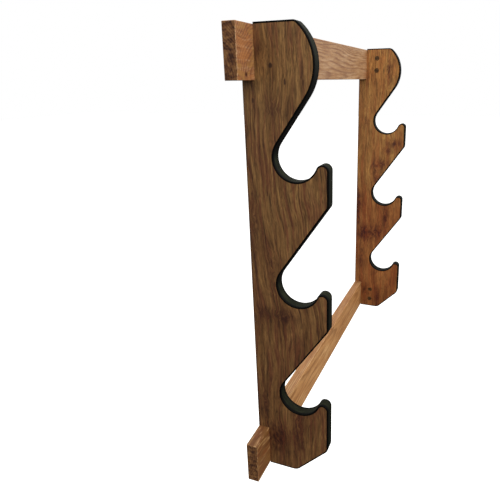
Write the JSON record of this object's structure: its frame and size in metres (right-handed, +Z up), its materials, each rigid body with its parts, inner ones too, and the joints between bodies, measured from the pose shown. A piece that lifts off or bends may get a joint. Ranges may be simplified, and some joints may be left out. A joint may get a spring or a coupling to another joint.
{
  "type": "wall rack for long instruments",
  "caption": "Wall-hung rack: two wood-laminate side panels with padded upward-opening cradles in tiers, joined by two wooden rails at the back.",
  "frame": {"origin": "centre of the top rail's back face, on the wall plane", "axes": "+Z up, +X along the rails to the right, +Y into the wall, so the front is -Y"},
  "size_m": [0.665, 0.107, 0.6144],
  "materials": {
    "panel_laminate": "satin wood-grain laminate",
    "core_board": "raw pressed board",
    "rail_wood": "clear satin lacquer",
    "edge_moulding": "satin flexible vinyl",
    "zinc_steel": "zinc plated"
  },
  "bodies": {
    "root": {"left_panel_core": "core_board", "left_outer_laminate": "panel_laminate", "left_inner_laminate": "panel_laminate", "left_edge_trim": "edge_moulding", "left_back_band": "panel_laminate", "top_left_bolts": "zinc_steel", "top_left_barrel_nuts": "zinc_steel", "lower_left_bolts": "zinc_steel", "lower_left_barrel_nuts": "zinc_steel", "left_keyhole_hanger": "zinc_steel", "left_hanger_screws": "zinc_steel", "right_panel_core": "core_board", "right_outer_laminate": "panel_laminate", "right_inner_laminate": "panel_laminate", "right_edge_trim": "edge_moulding", "right_back_band": "panel_laminate", "top_right_bolts": "zinc_steel", "top_right_barrel_nuts": "zinc_steel", "lower_right_bolts": "zinc_steel", "lower_right_barrel_nuts": "zinc_steel", "right_keyhole_hanger": "zinc_steel", "right_hanger_screws": "zinc_steel", "top_rail": "rail_wood", "lower_rail": "rail_wood"}
  },
  "joints": []
}
